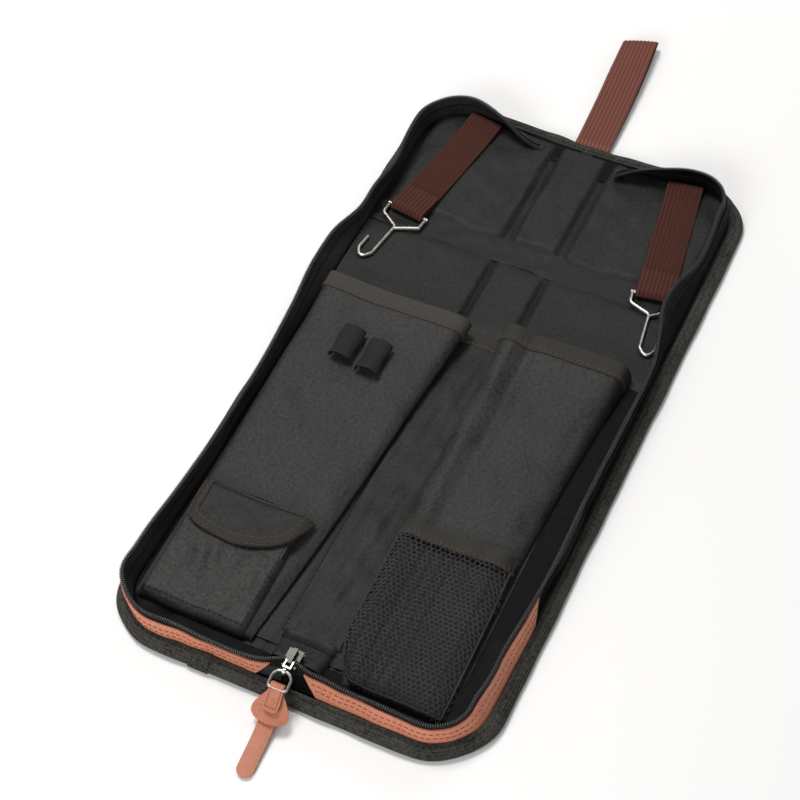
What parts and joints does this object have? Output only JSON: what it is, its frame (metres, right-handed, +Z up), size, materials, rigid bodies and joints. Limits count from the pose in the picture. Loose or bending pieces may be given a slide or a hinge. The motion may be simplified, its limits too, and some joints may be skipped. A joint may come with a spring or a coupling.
{
  "type": "drum stick bag",
  "caption": "Zip-round folding drum stick bag, open flat: two padded trays on a hinged spine, with stick pockets, flap and mesh pockets, key loops, handle and hook straps.",
  "frame": {"origin": "centre of the underside of the spine, on the surface that the open bag lies on", "axes": "+Z up, +Y along the bag towards the handle, +X towards the right half"},
  "size_m": [0.24, 0.635, 0.0236],
  "materials": {
    "cover_cloth": "woven black polyester with a faint sheen",
    "foam_board": "closed-cell foam board",
    "lining_cloth": "fine woven black polyester",
    "binding_tape": "ribbed black grosgrain tape",
    "gusset_cloth": "woven black polyester",
    "tan_leather": "tan leather, matt with a fine grain",
    "zipper_tape": "herringbone black tape",
    "zipper_coil": "black nylon coil",
    "hem_cloth": "folded and top-stitched black hem",
    "black_elastic": "ribbed black elastic",
    "hook_and_loop": "black hook-and-loop tape",
    "mesh_cloth": "open hexagonal black mesh",
    "zip_metal": "bright nickel plate",
    "hook_metal": "pale plated steel wire",
    "brown_elastic": "ribbed chocolate-brown elastic",
    "pocket_cloth": "woven black polyester"
  },
  "bodies": {
    "left_half": {"left_outer_cover": "cover_cloth", "left_foam_board": "foam_board", "left_lining": "lining_cloth", "left_edge_binding": "binding_tape", "left_gusset_wall": "gusset_cloth", "left_leather_trim": "tan_leather", "left_zipper_tape": "zipper_tape", "left_zipper_teeth": "zipper_coil", "left_slip_pocket": "pocket_cloth", "left_slip_pocket_band": "hem_cloth", "left_stick_pocket_front": "pocket_cloth", "left_stick_pocket_gusset": "pocket_cloth", "left_stick_pocket_hem": "hem_cloth", "key_loop_outer": "black_elastic", "key_loop_inner": "black_elastic", "small_pocket_front": "pocket_cloth", "small_pocket_gusset": "pocket_cloth", "closure_loop_patch": "hook_and_loop"},
    "spine": {"spine_outer_cover": "cover_cloth", "spine_foam_board": "foam_board", "spine_lining": "lining_cloth", "spine_binding_top": "binding_tape", "spine_binding_bottom": "binding_tape", "spine_slip_pocket": "pocket_cloth", "spine_slip_pocket_band": "hem_cloth", "spine_pocket_panel": "pocket_cloth", "spine_pocket_hem": "hem_cloth", "zipper_end_patch": "pocket_cloth", "zipper_end_tape": "zipper_tape", "slider_body": "zip_metal", "handle_anchor": "brown_elastic"},
    "right_half": {"right_outer_cover": "cover_cloth", "right_foam_board": "foam_board", "right_lining": "lining_cloth", "right_edge_binding": "binding_tape", "right_gusset_wall": "gusset_cloth", "right_leather_trim": "tan_leather", "right_zipper_tape": "zipper_tape", "right_zipper_teeth": "zipper_coil", "right_slip_pocket": "pocket_cloth", "right_slip_pocket_band": "hem_cloth", "right_stick_pocket_front": "pocket_cloth", "right_stick_pocket_gusset": "pocket_cloth", "right_stick_pocket_hem": "hem_cloth", "mesh_pocket_panel": "mesh_cloth", "mesh_pocket_binding": "binding_tape"},
    "pocket_flap": {"pocket_flap": "pocket_cloth", "pocket_flap_binding": "binding_tape", "closure_hook_patch": "hook_and_loop"},
    "handle": {"handle_loop": "brown_elastic"},
    "puller": {"puller_link": "zip_metal", "puller_ring": "zip_metal"},
    "leather_pull": {"leather_pull_tail": "tan_leather", "leather_pull_head": "tan_leather"},
    "left_strap": {"left_hanger_strap": "brown_elastic"},
    "left_hook": {"left_hanger_hook": "hook_metal"},
    "right_strap": {"right_hanger_strap": "brown_elastic"},
    "right_hook": {"right_hanger_hook": "hook_metal"}
  },
  "joints": [
    {"name": "spine_fold", "type": "hinge", "parent": "left_half", "child": "spine", "pos_m": [-0.022, 0, 0.002], "axis": [0, 1, 0], "range_deg": [-90, 0]},
    {"name": "right_fold", "type": "hinge", "parent": "spine", "child": "right_half", "pos_m": [0.022, 0, 0.002], "axis": [0, 1, 0], "range_deg": [-90, 0]},
    {"name": "flap_lift", "type": "hinge", "parent": "left_half", "child": "pocket_flap", "pos_m": [-0.068, -0.1246, 0.0119], "axis": [-1, 0, 0], "range_deg": [0, 90]},
    {"name": "handle_lift", "type": "hinge", "parent": "spine", "child": "handle", "pos_m": [0, 0.2382, 0.0052], "axis": [1, 0, 0], "range_deg": [0, 90]},
    {"name": "puller_lift", "type": "hinge", "parent": "spine", "child": "puller", "pos_m": [0, -0.2216, 0.0214], "axis": [-1, 0, 0], "range_deg": [0, 100]},
    {"name": "leather_pull_lift", "type": "hinge", "parent": "puller", "child": "leather_pull", "pos_m": [0, -0.23819, 0.01848], "axis": [-1, 0, 0], "range_deg": [0, 80]},
    {"name": "left_strap_lift", "type": "hinge", "parent": "left_half", "child": "left_strap", "pos_m": [-0.072, 0.2255, 0.0087], "axis": [-1, 0, 0], "range_deg": [0, 90]},
    {"name": "left_hook_lift", "type": "hinge", "parent": "left_strap", "child": "left_hook", "pos_m": [-0.08722, 0.12413, 0.0086], "axis": [-0.989, 0.1478, 0], "range_deg": [0, 150]},
    {"name": "right_strap_lift", "type": "hinge", "parent": "right_half", "child": "right_strap", "pos_m": [0.072, 0.2255, 0.0087], "axis": [-1, 0, 0], "range_deg": [0, 90]},
    {"name": "right_hook_lift", "type": "hinge", "parent": "right_strap", "child": "right_hook", "pos_m": [0.08722, 0.12413, 0.0086], "axis": [-0.989, -0.1478, 0], "range_deg": [0, 150]}
  ],
  "couplings": [
    {"joint": "right_fold", "follows": "spine_fold", "ratio": 1}
  ]
}
